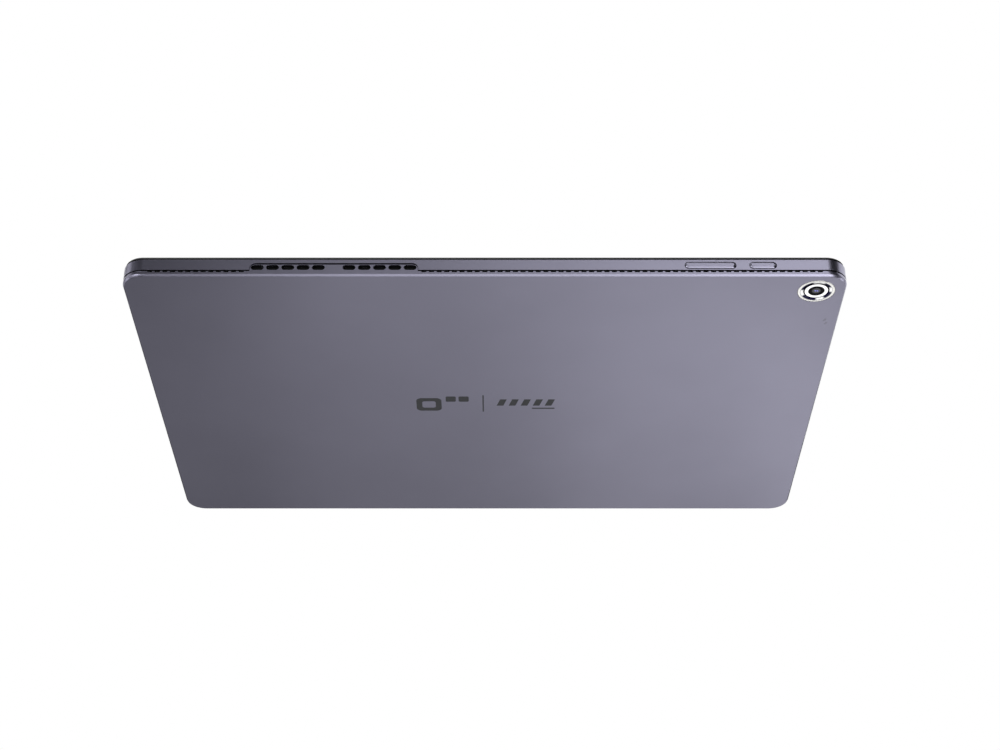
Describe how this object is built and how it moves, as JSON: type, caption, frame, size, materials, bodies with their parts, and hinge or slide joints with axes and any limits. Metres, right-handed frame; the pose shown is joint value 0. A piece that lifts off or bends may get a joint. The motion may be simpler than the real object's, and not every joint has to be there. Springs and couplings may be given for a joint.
{
  "type": "tablet computer",
  "caption": "Thin flat tablet computer: metal back cover and side frame, glass screen, flush rear camera, edge keys, speaker slots and a sliding card tray.",
  "frame": {"origin": "centre of the outer box's footprint, on the plane of the back cover's outer face, which the tablet lies on", "axes": "+X along the long edges towards the edge with the ports and the rear camera; +Y from the edge with the keys and speaker slots to the opposite long edge; +Z out of the screen"},
  "size_m": [0.246, 0.1698, 0.0079],
  "materials": {
    "painted_metal": "fine satin slate lavender",
    "cover_glass": "clear glass over a black border",
    "black_foam": "matte black foam and cloth",
    "display_panel": "dark panel, switched off",
    "white_sheet": "matte white",
    "clear_plastic": "clear",
    "bare_steel": "fine brushed",
    "flex_circuit": "amber film over copper",
    "polished_metal": "polished",
    "white_plastic": "bright white",
    "lens_glass": "coated, deep blue glints",
    "black_plastic": "moulded, fine grain",
    "circuit_board": "dark solder mask",
    "battery_pouch": "matte laminated foil"
  },
  "bodies": {
    "case": {"back_cover": "painted_metal", "side_frame": "painted_metal", "cover_glass": "cover_glass", "display_seal": "black_foam", "cover_adhesive": "black_foam", "speaker_mesh_left": "black_foam", "speaker_mesh_right": "black_foam", "lcd_panel": "display_panel", "diffuser_sheets": "white_sheet", "light_guide": "clear_plastic", "middle_plate": "bare_steel", "backlight_tray": "bare_steel", "volume_up_switch": "bare_steel", "volume_down_switch": "bare_steel", "power_switch": "bare_steel", "key_bracket": "bare_steel", "usb_port_shell": "bare_steel", "card_reader_cage": "bare_steel", "processor_shield": "bare_steel", "memory_shield": "bare_steel", "radio_shield": "bare_steel", "microphone": "bare_steel", "board_screw_1": "bare_steel", "board_screw_2": "bare_steel", "board_screw_3": "bare_steel", "board_screw_4": "bare_steel", "board_screw_5": "bare_steel", "board_screw_6": "bare_steel", "bracket_screw_1": "bare_steel", "bracket_screw_2": "bare_steel", "display_flex": "flex_circuit", "rear_camera_flex": "flex_circuit", "front_camera_flex": "flex_circuit", "side_key_flex": "flex_circuit", "jack_flex": "flex_circuit", "battery_lead": "flex_circuit", "wifi_antenna": "flex_circuit", "rear_camera_trim": "polished_metal", "rear_camera_inner_ring": "white_plastic", "rear_camera_lens": "lens_glass", "rear_camera_module": "black_plastic", "front_camera_module": "black_plastic", "usb_port_tongue": "black_plastic", "headphone_jack": "black_plastic", "display_connector": "black_plastic", "speaker_left": "black_plastic", "speaker_right": "black_plastic", "antenna_lead": "black_plastic", "main_board": "circuit_board", "battery_protection_board": "circuit_board", "battery_cell_left": "battery_pouch", "battery_cell_right": "battery_pouch"},
    "volume_rocker": {"volume_rocker": "painted_metal"},
    "power_button": {"power_button": "painted_metal"},
    "card_tray": {"card_tray": "painted_metal"}
  },
  "joints": [
    {"name": "volume_rock", "type": "hinge", "parent": "case", "child": "volume_rocker", "pos_m": [0.07629, -0.08345, 0.00438], "axis": [0, 0, 1], "range_deg": [-1.6, 1.6], "stiffness_Nm_per_rad": 0.4},
    {"name": "power_press", "type": "slide", "parent": "case", "child": "power_button", "axis": [0, 1, 0], "range_m": [0, 0.0003], "stiffness_N_per_m": 4000},
    {"name": "card_tray_slide", "type": "slide", "parent": "case", "child": "card_tray", "axis": [1, 0, 0], "range_m": [0, 0.018]}
  ]
}
